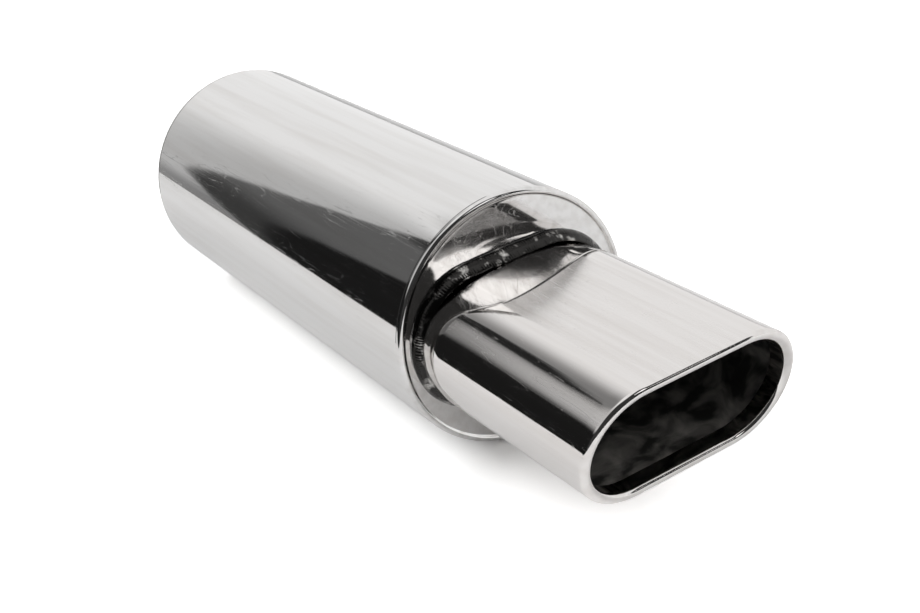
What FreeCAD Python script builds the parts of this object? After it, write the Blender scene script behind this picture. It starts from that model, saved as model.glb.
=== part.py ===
import FreeCAD, Part
import math
import os

# A straight-through rear silencer in polished stainless sheet, with an oblong tail tip.
# The gas runs along Y. The origin is the centre of the inlet pipe's open end, and +Y points
# out of that pipe, so the can and the tip lie on the -Y side. +Z is up, and the flat sides of
# the tip face up and down. All sizes are millimetres.

# Can
CAN_RADIUS = 63.5
CAN_LENGTH = 305.0
SHELL_WALL = 1.2
SEAM_WIDTH = 1.6

# End caps
CAP_WALL = 1.2
RIM_WIDTH = 3.6
RIM_RECESS = 1.4
RIM_BAND = 3.0
SKIRT_LENGTH = 9.0
CAP_BEND = 0.8

# Inlet pipe, which the car's own pipe slides into
INLET_BORE_RADIUS = 28.9
INLET_WALL = 1.5
INLET_REACH = 50.0
INLET_INNER_REACH = 16.0

# Perforated core tube, which slips over the inlet pipe and over the rear cap's collar
CORE_CLEARANCE = 0.15
CORE_WALL = 1.2
CORE_END_GAP = 4.0
COLLAR_LENGTH = 13.0
COLLAR_BEND = 2.0
HOLE_RADIUS = 3.5
HOLES_AROUND = 10
ROW_PITCH = 18.0
PLAIN_END = 22.0

# Packing between the core and the shell
WOOL_THICKNESS = 4.5
PACKING_CLEARANCE = 0.2

# Tail tip: an oblong tube whose rear end is pressed to a taller, narrower oval neck
TIP_WIDTH = 111.0
TIP_HEIGHT = 60.0
TIP_REACH = 126.5
TIP_WALL = 1.5
SLASH_DEGREES = 15.0
NECK_RIM_CLEARANCE = 3.0
NECK_HEIGHT = 66.0
CREASE_REACH_TOP = 35.8
CREASE_REACH_SIDE = 18.4
CREASE_CREST_X = -24.0
CREASE_LEFT_RUN = 24.3
CREASE_RIGHT_RUN = 82.0
OUTLINE_POINTS = 19
TUBE_MARGIN = 10.0
LIP_RADIUS = 2.7
LIP_RETURN = 7.0

# Weld beads
TIP_BEAD_WIDTH = 3.4
TIP_BEAD_LENGTH = 6.2
TIP_BEAD_SINK = 0.6
TIP_BEAD_BULGE = 0.12
INLET_BEAD_LEG = 4.0
BEAD_FULLNESS = 0.6

# Places along Y and other sizes, worked out from the ones above
RIM_ROUND = RIM_WIDTH / 2
FRONT_CREST = -INLET_REACH
REAR_CREST = FRONT_CREST - CAN_LENGTH
FRONT_FACE = FRONT_CREST - RIM_RECESS
REAR_FACE = REAR_CREST + RIM_RECESS
FRONT_INNER = FRONT_FACE - CAP_WALL
REAR_INNER = REAR_FACE + CAP_WALL
SHELL_FRONT = FRONT_CREST - RIM_BAND
SHELL_REAR = REAR_CREST + RIM_BAND
CORE_FRONT = FRONT_INNER - CORE_END_GAP
CORE_REAR = REAR_INNER + CORE_END_GAP

SHELL_INNER_RADIUS = CAN_RADIUS - SHELL_WALL
INLET_OUTER_RADIUS = INLET_BORE_RADIUS + INLET_WALL
CORE_INNER_RADIUS = INLET_OUTER_RADIUS + CORE_CLEARANCE
CORE_OUTER_RADIUS = CORE_INNER_RADIUS + CORE_WALL
WOOL_INNER_RADIUS = CORE_OUTER_RADIUS + PACKING_CLEARANCE
WOOL_OUTER_RADIUS = WOOL_INNER_RADIUS + WOOL_THICKNESS
PACKING_INNER_RADIUS = WOOL_OUTER_RADIUS + PACKING_CLEARANCE
PACKING_OUTER_RADIUS = SHELL_INNER_RADIUS - PACKING_CLEARANCE
SKIRT_INNER_RADIUS = SHELL_INNER_RADIUS - CAP_WALL
# The neck and its weld bead stand on the flat of the rear cap, inside the raised rim
NECK_WIDTH = 2 * (CAN_RADIUS - RIM_WIDTH - NECK_RIM_CLEARANCE - TIP_BEAD_WIDTH)
SLASH_SLOPE = math.tan(math.radians(SLASH_DEGREES))
CORE_BEAD_LEG = CORE_OUTER_RADIUS - INLET_OUTER_RADIUS
TUBE_START = CREASE_REACH_TOP + TUBE_MARGIN
LIP_START = TIP_REACH + RIM_RECESS - LIP_RADIUS
PAST_MOUTH = TIP_REACH * 2

Y_AXIS = FreeCAD.Vector(0, 1, 0)
ORIGIN = FreeCAD.Vector(0, 0, 0)


def point(radius, y):
    """A point of a turned profile: radius along X, height along Y."""
    return FreeCAD.Vector(radius, y, 0)


def ring(outer_radius, inner_radius, y_low, y_high):
    """A plain tube on the Y axis."""
    length = y_high - y_low
    base = FreeCAD.Vector(0, y_low, 0)
    outer = Part.makeCylinder(outer_radius, length, base, Y_AXIS)
    return outer.cut(Part.makeCylinder(inner_radius, length, base, Y_AXIS))


def turned(points):
    """A solid turned on the Y axis from a closed profile of straight runs."""
    outline = Part.makePolygon(points + [points[0]])
    return Part.Face(outline).revolve(ORIGIN, Y_AXIS, 360)


def arc_point(centre, radius, degrees):
    """A point on a profile arc, with the angle measured from +X towards +Y."""
    angle = math.radians(degrees)
    return centre + FreeCAD.Vector(radius * math.cos(angle), radius * math.sin(angle), 0)


def arc(centre, radius, start, end):
    """A profile arc between two angles in degrees."""
    middle = (start + end) / 2
    return Part.Arc(
        arc_point(centre, radius, start), arc_point(centre, radius, middle), arc_point(centre, radius, end)
    ).toShape()


def line(start, end):
    return Part.LineSegment(start, end).toShape()


def cap_profile(hole_radius, collar_length):
    """Half section of a pressed cap that faces +Y, with its crest at y = 0.

    From the hole outwards: a collar drawn inwards, the flat face, the raised rolled rim, the
    band that lies flush with the shell, and the skirt that plugs into the shell.
    """
    face = -RIM_RECESS
    inner_face = face - CAP_WALL
    bead = point(CAN_RADIUS - RIM_ROUND, -RIM_ROUND)
    bead_angle = 180 - math.degrees(math.asin((RIM_ROUND - RIM_RECESS) / RIM_ROUND))
    band = -RIM_BAND
    skirt_end = band - SKIRT_LENGTH
    edges = []
    if collar_length > 0:
        collar_outer = hole_radius + CAP_WALL
        bend_centre = point(collar_outer + COLLAR_BEND, inner_face - COLLAR_BEND)
        collar_end = inner_face - collar_length
        edges.append(line(point(hole_radius, collar_end), point(hole_radius, bend_centre.y)))
        edges.append(arc(bend_centre, COLLAR_BEND + CAP_WALL, 180, 90))
        face_start = point(bend_centre.x, face)
        under_start = point(bend_centre.x, inner_face)
    else:
        face_start = point(hole_radius, face)
        under_start = point(hole_radius, inner_face)
    edges.append(line(face_start, arc_point(bead, RIM_ROUND, bead_angle)))
    edges.append(arc(bead, RIM_ROUND, bead_angle, 0))
    edges.append(line(point(CAN_RADIUS, -RIM_ROUND), point(CAN_RADIUS, band)))
    edges.append(line(point(CAN_RADIUS, band), point(SHELL_INNER_RADIUS, band)))
    edges.append(line(point(SHELL_INNER_RADIUS, band), point(SHELL_INNER_RADIUS, skirt_end)))
    edges.append(line(point(SHELL_INNER_RADIUS, skirt_end), point(SKIRT_INNER_RADIUS, skirt_end)))
    bend = point(SKIRT_INNER_RADIUS - CAP_BEND, inner_face - CAP_BEND)
    edges.append(line(point(SKIRT_INNER_RADIUS, skirt_end), point(SKIRT_INNER_RADIUS, bend.y)))
    edges.append(arc(bend, CAP_BEND, 0, 90))
    edges.append(line(point(bend.x, inner_face), under_start))
    if collar_length > 0:
        edges.append(arc(bend_centre, COLLAR_BEND, 90, 180))
        edges.append(line(point(collar_outer, bend_centre.y), point(collar_outer, collar_end)))
        edges.append(line(point(collar_outer, collar_end), point(hole_radius, collar_end)))
    else:
        edges.append(line(under_start, face_start))
    return Part.Face(Part.Wire(edges))


def pressed_cap(hole_radius, collar_length):
    return cap_profile(hole_radius, collar_length).revolve(ORIGIN, Y_AXIS, 360)


def front_cap():
    """Inlet end: the pipe goes through a plain hole."""
    cap = pressed_cap(INLET_OUTER_RADIUS, 0)
    cap.translate(FreeCAD.Vector(0, FRONT_CREST, 0))
    return cap


def rear_cap():
    """Outlet end: a collar drawn inwards carries the core tube."""
    cap = pressed_cap(INLET_OUTER_RADIUS - CAP_WALL, COLLAR_LENGTH)
    cap.rotate(ORIGIN, FreeCAD.Vector(0, 0, 1), 180)
    cap.translate(FreeCAD.Vector(0, REAR_CREST, 0))
    return cap


def seam_bar():
    """The strip of the shell wall where the rolled sheet's two edges meet, at the bottom."""
    depth = 2 * SHELL_WALL
    return Part.makeBox(
        SEAM_WIDTH, SHELL_FRONT - SHELL_REAR, depth,
        FreeCAD.Vector(-SEAM_WIDTH / 2, SHELL_REAR, -CAN_RADIUS - SHELL_WALL / 2))


def outer_shell():
    return ring(CAN_RADIUS, SHELL_INNER_RADIUS, SHELL_REAR, SHELL_FRONT).cut(seam_bar())


def shell_seam_weld():
    """Butt weld ground flush with both faces of the sheet."""
    return ring(CAN_RADIUS, SHELL_INNER_RADIUS, SHELL_REAR, SHELL_FRONT).common(seam_bar())


def inlet_pipe():
    return ring(INLET_OUTER_RADIUS, INLET_BORE_RADIUS, FRONT_INNER - INLET_INNER_REACH, 0)


def perforated_core():
    """Straight tube drilled through in staggered rows, with plain ends where it is carried."""
    tube = ring(CORE_OUTER_RADIUS, CORE_INNER_RADIUS, CORE_REAR, CORE_FRONT)
    span = CORE_FRONT - CORE_REAR - 2 * PLAIN_END
    rows = int(span // ROW_PITCH) + 1
    first_row = (CORE_FRONT + CORE_REAR) / 2 - (rows - 1) * ROW_PITCH / 2
    step = 360.0 / HOLES_AROUND
    drills = []
    for row in range(rows):
        stagger = step / 2 if row % 2 else 0.0
        y = first_row + row * ROW_PITCH
        for index in range(HOLES_AROUND):
            angle = math.radians(stagger + index * step)
            direction = FreeCAD.Vector(math.cos(angle), 0, math.sin(angle))
            start = direction * (CORE_INNER_RADIUS - CORE_WALL) + FreeCAD.Vector(0, y, 0)
            drills.append(Part.makeCylinder(HOLE_RADIUS, 3 * CORE_WALL, start, direction))
    return tube.cut(Part.makeCompound(drills))


def steel_wool_wrap():
    return ring(
        WOOL_OUTER_RADIUS, WOOL_INNER_RADIUS,
        CORE_REAR + CORE_END_GAP, CORE_FRONT - CORE_END_GAP)


def glass_fibre_packing():
    """Fills the can between the wool and the shell, and steps in under the caps' skirts."""
    front = FRONT_INNER - PACKING_CLEARANCE
    rear = REAR_INNER + PACKING_CLEARANCE
    front_step = SHELL_FRONT - SKIRT_LENGTH - PACKING_CLEARANCE
    rear_step = SHELL_REAR + SKIRT_LENGTH + PACKING_CLEARANCE
    end_radius = SKIRT_INNER_RADIUS - CAP_BEND
    return turned([
        point(PACKING_INNER_RADIUS, rear),
        point(end_radius, rear),
        point(end_radius, rear_step),
        point(PACKING_OUTER_RADIUS, rear_step),
        point(PACKING_OUTER_RADIUS, front_step),
        point(end_radius, front_step),
        point(end_radius, front),
        point(PACKING_INNER_RADIUS, front),
    ])


def crease_reach(x):
    """How far the neck's crease lies from the cap face, seen from above.

    It is a hump with its crest off centre: the neck was pressed by hand, so the crease falls
    back steeply on the -X side, slowly on the +X side, and runs out square at both.
    """
    if x < CREASE_CREST_X:
        run = (CREASE_CREST_X - x) / CREASE_LEFT_RUN
    else:
        run = (x - CREASE_CREST_X) / CREASE_RIGHT_RUN
    fall = (1 - math.cos(math.pi * min(run, 1.0))) / 2
    return CREASE_REACH_TOP - (CREASE_REACH_TOP - CREASE_REACH_SIDE) * fall


def smooth_edge(points):
    """A smooth curve through points, with evenly spaced steps so that two of them loft evenly."""
    curve = Part.BSplineCurve()
    curve.interpolate(Points=points, Parameters=[float(index) for index in range(len(points))])
    return curve.toShape()


def flat_points(half_flat, radius, sign):
    """Points (x, z) along the flat top of an oval, or along its flat bottom when sign is -1."""
    steps = [2 * index / (OUTLINE_POINTS - 1) - 1 for index in range(OUTLINE_POINTS)]
    return [(sign * half_flat * step, sign * radius) for step in steps]


def side_points(half_flat, radius, sign):
    """Points (x, z) round an oval's +X side, or round its -X side when sign is -1."""
    angles = [math.pi / 2 - math.pi * index / (OUTLINE_POINTS - 1) for index in range(OUTLINE_POINTS)]
    return [
        (sign * (half_flat + radius * math.cos(angle)), sign * radius * math.sin(angle))
        for angle in angles
    ]


def square_outline(width, height, reach):
    """A closed oblong outline, flat above and below and round at the sides, cut off square."""
    radius = height / 2
    half_flat = width / 2 - radius
    edges = []
    for sign in (1, -1):
        flat = [FreeCAD.Vector(x, -reach, z) for x, z in flat_points(half_flat, radius, sign)]
        side = [FreeCAD.Vector(x, -reach, z) for x, z in side_points(half_flat, radius, sign)]
        edges.append(line(flat[0], flat[-1]))
        edges.append(Part.Arc(side[0], side[OUTLINE_POINTS // 2], side[-1]).toShape())
    return Part.Wire(edges)


def crease_outline(width, height):
    """The same outline, bowed along Y to follow the crease."""
    radius = height / 2
    half_flat = width / 2 - radius
    edges = []
    for sign in (1, -1):
        for run in (flat_points(half_flat, radius, sign), side_points(half_flat, radius, sign)):
            edges.append(smooth_edge([FreeCAD.Vector(x, -crease_reach(x), z) for x, z in run]))
    return Part.Wire(edges)


def neck_body(inset):
    """The pressed neck as a solid, from the cap face to a little past its crease."""
    tube_width = TIP_WIDTH - 2 * inset
    tube_height = TIP_HEIGHT - 2 * inset
    sections = [
        square_outline(NECK_WIDTH - 2 * inset, NECK_HEIGHT - 2 * inset, 0.0),
        crease_outline(tube_width, tube_height),
        square_outline(tube_width, tube_height, TUBE_START),
    ]
    return Part.makeLoft(sections, True, True)


def oval_bar(inset, start, end):
    """A straight bar of the tip's oblong section, between two reaches from the cap face."""
    face = Part.Face(square_outline(TIP_WIDTH - 2 * inset, TIP_HEIGHT - 2 * inset, start))
    return face.extrude(FreeCAD.Vector(0, start - end, 0))


def around_oval(profile, width, height):
    """Carries a profile face, drawn at the +X end of an oval outline, all round that outline."""
    radius = height / 2
    half_flat = width / 2 - radius
    right_axis = FreeCAD.Vector(half_flat, 0, 0)
    left_axis = FreeCAD.Vector(-half_flat, 0, 0)
    top = profile.copy()
    top.rotate(right_axis, Y_AXIS, -90)
    right = top.revolve(right_axis, Y_AXIS, 180)
    top_run = top.extrude(FreeCAD.Vector(-2 * half_flat, 0, 0))
    bottom = top.copy()
    bottom.rotate(right_axis, Y_AXIS, 180)
    bottom_run = bottom.extrude(FreeCAD.Vector(-2 * half_flat, 0, 0))
    far = bottom.copy()
    far.translate(FreeCAD.Vector(-2 * half_flat, 0, 0))
    left = far.revolve(left_axis, Y_AXIS, 180)
    return right.fuse([top_run, bottom_run, left]).removeSplitter()


def slashed(shape):
    """Leans a shape's square-cut front into the mouth's slant: the top reaches further."""
    lean = FreeCAD.Matrix()
    lean.A23 = -SLASH_SLOPE
    return shape.transformGeometry(lean)


def rolled_lip():
    """The mouth's edge: the sheet turned inwards through a half round, with a short return."""
    rim = TIP_WIDTH / 2
    inside = rim - 2 * LIP_RADIUS
    inner_round = LIP_RADIUS - TIP_WALL
    centre = point(rim - LIP_RADIUS, 0)
    edges = [
        arc(centre, LIP_RADIUS, 0, -180),
        line(point(inside, 0), point(inside, LIP_RETURN)),
        line(point(inside, LIP_RETURN), point(inside + TIP_WALL, LIP_RETURN)),
        line(point(inside + TIP_WALL, LIP_RETURN), point(inside + TIP_WALL, 0)),
        arc(centre, inner_round, -180, 0),
        line(point(rim - TIP_WALL, 0), point(rim, 0)),
    ]
    lip = around_oval(Part.Face(Part.Wire(edges)), TIP_WIDTH, TIP_HEIGHT)
    lip.translate(FreeCAD.Vector(0, -LIP_START, 0))
    return slashed(lip)


def tail_tip():
    """One pressed and rolled sheet: the neck, the oblong tube and the rolled lip."""
    neck = neck_body(0.0).cut(neck_body(TIP_WALL))
    tube = oval_bar(0.0, TUBE_START, PAST_MOUTH).cut(oval_bar(TIP_WALL, TUBE_START, PAST_MOUTH))
    waste = Part.makeBox(
        TIP_WIDTH * 2, PAST_MOUTH, TIP_HEIGHT * 4,
        FreeCAD.Vector(-TIP_WIDTH, -LIP_START - PAST_MOUTH, -TIP_HEIGHT * 2))
    tube = tube.cut(slashed(waste))
    tip = neck.fuse([tube, rolled_lip()]).removeSplitter()
    tip.translate(FreeCAD.Vector(0, REAR_FACE, 0))
    return tip


def tip_weld():
    """Convex fillet bead round the neck, where the tip meets the rear cap."""
    toe = NECK_WIDTH / 2
    root = toe - TIP_BEAD_WIDTH
    start = point(toe + TIP_BEAD_WIDTH, 0)
    end = point(toe - TIP_BEAD_SINK, -TIP_BEAD_LENGTH)
    middle = (start + end) / 2 + FreeCAD.Vector(TIP_BEAD_LENGTH, -TIP_BEAD_WIDTH, 0) * TIP_BEAD_BULGE
    edges = [
        line(point(root, 0), start),
        Part.Arc(start, middle, end).toShape(),
        line(end, point(root, -TIP_BEAD_LENGTH)),
        line(point(root, -TIP_BEAD_LENGTH), point(root, 0)),
    ]
    bead = around_oval(Part.Face(Part.Wire(edges)), NECK_WIDTH, NECK_HEIGHT).cut(neck_body(0.0))
    bead.translate(FreeCAD.Vector(0, REAR_FACE, 0))
    return bead


def turned_bead(radius, y, width, length):
    """A convex fillet bead on a tube of this radius. A negative length runs towards -Y."""
    start = point(radius + width, y)
    end = point(radius, y + length)
    middle = point(radius + width * BEAD_FULLNESS, y + length * BEAD_FULLNESS)
    edges = [
        line(point(radius, y), start),
        Part.Arc(start, middle, end).toShape(),
        line(end, point(radius, y)),
    ]
    return Part.Face(Part.Wire(edges)).revolve(ORIGIN, Y_AXIS, 360)


def inlet_weld():
    return turned_bead(INLET_OUTER_RADIUS, FRONT_FACE, INLET_BEAD_LEG, INLET_BEAD_LEG)


def core_weld_front():
    return turned_bead(INLET_OUTER_RADIUS, CORE_FRONT, CORE_BEAD_LEG, CORE_BEAD_LEG)


def core_weld_rear():
    return turned_bead(INLET_OUTER_RADIUS, CORE_REAR, CORE_BEAD_LEG, -CORE_BEAD_LEG)


NODES = {
    "outer_shell": outer_shell,
    "shell_seam_weld": shell_seam_weld,
    "front_cap": front_cap,
    "rear_cap": rear_cap,
    "inlet_pipe": inlet_pipe,
    "inlet_weld": inlet_weld,
    "perforated_core": perforated_core,
    "core_weld_front": core_weld_front,
    "core_weld_rear": core_weld_rear,
    "steel_wool_wrap": steel_wool_wrap,
    "glass_fibre_packing": glass_fibre_packing,
    "tail_tip": tail_tip,
    "tip_weld": tip_weld,
}

os.makedirs("parts", exist_ok=True)
for name, build in NODES.items():
    shape = build()
    shape.exportStep("parts/" + name + ".step")
    print(name, "valid", shape.isValid(), "solids", len(shape.Solids), "volume", round(shape.Volume, 1))
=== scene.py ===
import math

import bmesh
import bpy
from mathutils import Matrix, Vector


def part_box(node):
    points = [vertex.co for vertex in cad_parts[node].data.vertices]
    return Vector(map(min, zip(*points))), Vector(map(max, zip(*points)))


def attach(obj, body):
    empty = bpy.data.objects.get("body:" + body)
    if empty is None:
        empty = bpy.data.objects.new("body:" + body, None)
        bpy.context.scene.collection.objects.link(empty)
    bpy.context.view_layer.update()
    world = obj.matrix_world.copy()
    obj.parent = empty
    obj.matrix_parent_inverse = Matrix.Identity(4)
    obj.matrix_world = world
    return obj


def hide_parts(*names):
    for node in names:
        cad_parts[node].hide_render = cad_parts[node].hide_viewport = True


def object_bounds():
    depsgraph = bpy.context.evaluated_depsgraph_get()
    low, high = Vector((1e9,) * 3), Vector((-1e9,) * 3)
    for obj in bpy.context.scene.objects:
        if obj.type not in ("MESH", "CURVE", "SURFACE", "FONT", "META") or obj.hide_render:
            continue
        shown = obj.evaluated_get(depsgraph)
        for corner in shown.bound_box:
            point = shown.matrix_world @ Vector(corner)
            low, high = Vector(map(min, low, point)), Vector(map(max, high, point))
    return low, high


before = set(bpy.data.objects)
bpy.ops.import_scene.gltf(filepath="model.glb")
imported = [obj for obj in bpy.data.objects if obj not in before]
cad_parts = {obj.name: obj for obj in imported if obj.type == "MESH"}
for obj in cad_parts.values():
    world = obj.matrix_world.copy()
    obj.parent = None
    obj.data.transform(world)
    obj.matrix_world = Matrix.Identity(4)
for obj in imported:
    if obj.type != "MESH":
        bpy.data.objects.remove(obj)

# %% [markdown]
# The part is a rear silencer in polished stainless sheet. Polished metal shows its surroundings more
# than itself, so two things decide the look: surfaces smooth enough to mirror cleanly, and a studio
# worth mirroring. The solids are already right in size. This file gives the visible sheets a finer
# mesh with the small rounds that catch the light, and then builds the finishes and the studio.
# The sizes are the solids' own. The part lies along Y, with the inlet's mouth at 0.

# %% Sizes
MM = 0.001
CAN_RADIUS = 63.5 * MM
SHELL_WALL = 1.2 * MM
FRONT_CREST = -50.0 * MM
REAR_CREST = -355.0 * MM
EDGE_BREAK = 0.25 * MM

cad_low, cad_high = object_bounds()
print("the solids' box in mm", [round(v / MM, 1) for v in cad_high - cad_low])

# %% [markdown]
# Every visible sheet is a grid of rings. A turned sheet takes its profile round the axis, and the
# tip takes its profile round an oblong outline. One function makes the mesh from the rings, so all
# pieces share their shading: smooth, with true corners kept sharp. The last ring joins the first,
# so each sheet is a closed skin with a real thickness.

# %% Rings to mesh
SHARP_ANGLE = math.radians(35)


def sheet_from_rings(name, rings, nodes):
    """A closed mesh from rings of points, in place of the solids that it covers."""
    count = len(rings[0])
    points = [point for ring in rings for point in ring]
    faces = []
    for row in range(len(rings)):
        this = row * count
        following = ((row + 1) % len(rings)) * count
        for column in range(count):
            beside = (column + 1) % count
            faces.append((this + column, this + beside, following + beside, following + column))
    mesh = bpy.data.meshes.new(name)
    mesh.from_pydata(points, [], faces)
    work = bmesh.new()
    work.from_mesh(mesh)
    bmesh.ops.recalc_face_normals(work, faces=work.faces)
    work.to_mesh(mesh)
    work.free()
    mesh.shade_smooth()
    mesh.set_sharp_from_angle(angle=SHARP_ANGLE)
    piece = bpy.data.objects.new(name, mesh)
    bpy.context.collection.objects.link(piece)
    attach(piece, "root")
    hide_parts(*nodes)
    print(name, "has", len(faces), "faces")
    return piece


# %% [markdown]
# Turned work needs only a profile: each point of it is a radius and a place along Y. The round edges
# in a profile are true arcs, so they stay round however close the eye comes.

# %% Turned profiles
TURNED_STEPS = 256


def turned_rings(profile):
    """Rings round the Y axis from (radius, y) points."""
    angles = [2 * math.pi * step / TURNED_STEPS for step in range(TURNED_STEPS)]
    rings = []
    for radius, y in profile:
        rings.append([(radius * math.cos(a), y, radius * math.sin(a)) for a in angles])
    return rings


def round_run(centre, radius, start, end, steps):
    """Points (radius, y) along an arc, with angles in degrees from outwards towards +Y."""
    points = []
    for step in range(steps + 1):
        angle = math.radians(start + (end - start) * step / steps)
        points.append((centre[0] + radius * math.cos(angle), centre[1] + radius * math.sin(angle)))
    return points


# %% [markdown]
# The can is one sheet rolled round and butt-welded along its lowest line. Its two ends meet the caps
# on a fine dark line, which is only there because sheared sheet has a slightly broken edge. The
# lengthwise weld is ground flush, so the same mesh covers it.

# %% Can shell
shell_low, shell_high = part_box("outer_shell")


def can_profile():
    inner = CAN_RADIUS - SHELL_WALL
    rear, front = shell_low.y, shell_high.y
    return [
        (CAN_RADIUS - EDGE_BREAK, rear),
        (CAN_RADIUS, rear + EDGE_BREAK),
        (CAN_RADIUS, front - EDGE_BREAK),
        (CAN_RADIUS - EDGE_BREAK, front),
        (inner, front),
        (inner, rear),
    ]


can = sheet_from_rings(
    "can_shell", turned_rings(can_profile()), ["outer_shell", "shell_seam_weld"])

# %% [markdown]
# Each cap is pressed from a disc: a face, a half-round rim that stands proud of it, and a skirt that
# plugs into the can. The front cap's face is flat. The small hollow round where the rim meets the
# face is a fold in the metal, and shows as one thin bright line, so it is worth having.

# %% Cap rim
CAP_WALL = 1.2 * MM
RIM_ROUND = 1.8 * MM
RIM_RECESS = 1.4 * MM
RIM_BAND = 3.0 * MM
SKIRT_LENGTH = 9.0 * MM
ARC_STEPS = 14
FOLD_ROUND = 0.9 * MM
FOLD_DEGREES = 14
FOLD_KNEE = 0.35
FOLD_LIFT = 0.08 * MM


def cap_rim(crest, side, recess):
    """The rim and skirt from the face outwards. side is 1 for a cap that faces +Y, -1 for -Y."""
    rim_centre = CAN_RADIUS - RIM_ROUND
    start = 180 - math.degrees(math.asin((RIM_ROUND - recess) / RIM_ROUND))
    rim = round_run((rim_centre, -RIM_ROUND), RIM_ROUND, start - FOLD_DEGREES, 0, ARC_STEPS)
    rim_start = rim[0][0]
    fold = [
        (rim_start - FOLD_ROUND, -recess),
        (rim_start - FOLD_ROUND * FOLD_KNEE, -recess + FOLD_LIFT),
    ]
    skirt = CAN_RADIUS - SHELL_WALL
    tail = [
        (CAN_RADIUS, -RIM_BAND + EDGE_BREAK),
        (CAN_RADIUS - EDGE_BREAK, -RIM_BAND),
        (skirt, -RIM_BAND),
        (skirt, -RIM_BAND - SKIRT_LENGTH),
        (skirt - CAP_WALL, -RIM_BAND - SKIRT_LENGTH),
        (skirt - CAP_WALL, -RIM_RECESS - CAP_WALL),
    ]
    return [(radius, crest + side * y) for radius, y in fold + rim + tail]


# %% [markdown]
# The rear cap's face mirrors the neck that stands on it, and in a flat face that mirror picture is
# too straight. Pressed sheet is seldom quite flat, so the face is drawn as a very shallow cone,
# deeper at its middle. How shallow was chosen by trial, from the picture that it mirrors.

# %% Rear cap
PIPE_RADIUS = 30.4 * MM
REAR_FACE = REAR_CREST + RIM_RECESS
COLLAR_LENGTH = 13.0 * MM
COLLAR_BEND = 2.0 * MM
DISH_DEPTH = 0.75 * MM
DISH_RISE = 0.40 * MM
DISH_START = 34.5 * MM
DISH_MARGIN = 0.3 * MM
DISH_END = CAN_RADIUS - 2 * RIM_ROUND - FOLD_ROUND - DISH_MARGIN
DISH_STEPS = 18


def rear_cap_profile():
    """The outlet cap has a collar drawn inwards, which carries the core tube."""
    under = REAR_FACE + CAP_WALL
    collar_end = under + COLLAR_LENGTH
    centre = (PIPE_RADIUS + COLLAR_BEND, under + COLLAR_BEND)
    inside = [(PIPE_RADIUS, collar_end), (PIPE_RADIUS - CAP_WALL, collar_end)]
    bend = round_run(centre, COLLAR_BEND + CAP_WALL, 180, 270, ARC_STEPS)
    back = round_run(centre, COLLAR_BEND, 270, 180, ARC_STEPS)
    dish = []
    for step in range(DISH_STEPS + 1):
        run = step / DISH_STEPS
        radius = DISH_START + (DISH_END - DISH_START) * run
        dish.append((radius, REAR_FACE + DISH_DEPTH - (DISH_DEPTH + DISH_RISE) * run))
    return inside + bend + dish + cap_rim(REAR_CREST, -1, RIM_RECESS - DISH_RISE) + back


rear_cap = sheet_from_rings(
    "rear_cap_sheet", turned_rings(rear_cap_profile()), ["rear_cap"])

# %% [markdown]
# The front cap has a plain hole for the inlet pipe and the same rim. The photograph doesn't show it,
# so its face stays flat. Two more rings only keep the mesh even.

# %% Front cap
FACE_RINGS = (40.0 * MM, 50.0 * MM)


def front_cap_profile():
    face = FRONT_CREST - RIM_RECESS
    flat = [(radius, face) for radius in (PIPE_RADIUS, *FACE_RINGS)]
    return flat + cap_rim(FRONT_CREST, 1, RIM_RECESS) + [(PIPE_RADIUS, face - CAP_WALL)]


front_cap = sheet_from_rings(
    "front_cap_sheet", turned_rings(front_cap_profile()), ["front_cap"])

# %% [markdown]
# The inlet pipe isn't seen in the photograph, so it is the usual one: a cut length of tube, left as
# the mill made it. A saw cut is deburred, so both edges of its mouth get a small chamfer, which is
# the bright ring at the end of a pipe.

# %% Inlet pipe
PIPE_BORE = 28.9 * MM
PIPE_INNER_END = -68.6 * MM


def inlet_profile():
    return [
        (PIPE_RADIUS, PIPE_INNER_END),
        (PIPE_RADIUS, -EDGE_BREAK),
        (PIPE_RADIUS - EDGE_BREAK, 0.0),
        (PIPE_BORE + EDGE_BREAK, 0.0),
        (PIPE_BORE, -EDGE_BREAK),
        (PIPE_BORE, PIPE_INNER_END),
    ]


inlet = sheet_from_rings(
    "inlet_tube", turned_rings(inlet_profile()), ["inlet_pipe"])

# %% [markdown]
# The tip is the skilful piece: one sheet, pressed from an oval neck into an oblong tube, with a crease
# between them, and a mouth cut on a slant and rolled inwards. Each ring round it has the same number
# of points, flat to flat and side to side, so the neck is ruled just as the solid is.

# %% Tip outline
TIP_WIDTH = 111.0 * MM
TIP_HEIGHT = 60.0 * MM
TIP_WALL = 1.5 * MM
TIP_REACH = 126.5 * MM
SLASH_SLOPE = math.tan(math.radians(15.0))
FLAT_STEPS = 44
SIDE_STEPS = 84


def oval_points(width, height):
    """Points (x, z) round an oblong outline, flat above and below and half round at the sides."""
    radius = height / 2
    half_flat = width / 2 - radius
    points = []
    for sign in (1, -1):
        for step in range(FLAT_STEPS):
            share = 2 * step / FLAT_STEPS - 1
            points.append((sign * half_flat * share, sign * radius))
        for step in range(SIDE_STEPS):
            angle = math.pi / 2 - math.pi * step / SIDE_STEPS
            x = half_flat + radius * math.cos(angle)
            points.append((sign * x, sign * radius * math.sin(angle)))
    return points


def ring_at(inset, reach_of):
    """A ring of the tube's section. reach_of gives each point's distance from the cap face."""
    outline = oval_points(TIP_WIDTH - 2 * inset, TIP_HEIGHT - 2 * inset)
    return [Vector((x, REAR_FACE - reach_of(x, z), z)) for x, z in outline]


print("points round the tip", len(oval_points(TIP_WIDTH, TIP_HEIGHT)))

# %% [markdown]
# The crease runs across the tip as a hump with one steep and one long side. Bent sheet never folds
# to a knife edge, so the crease has a small round, and that round is what glints. The photograph
# shows it softer where it turns down the -X side. How soft was chosen by trial.

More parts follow.
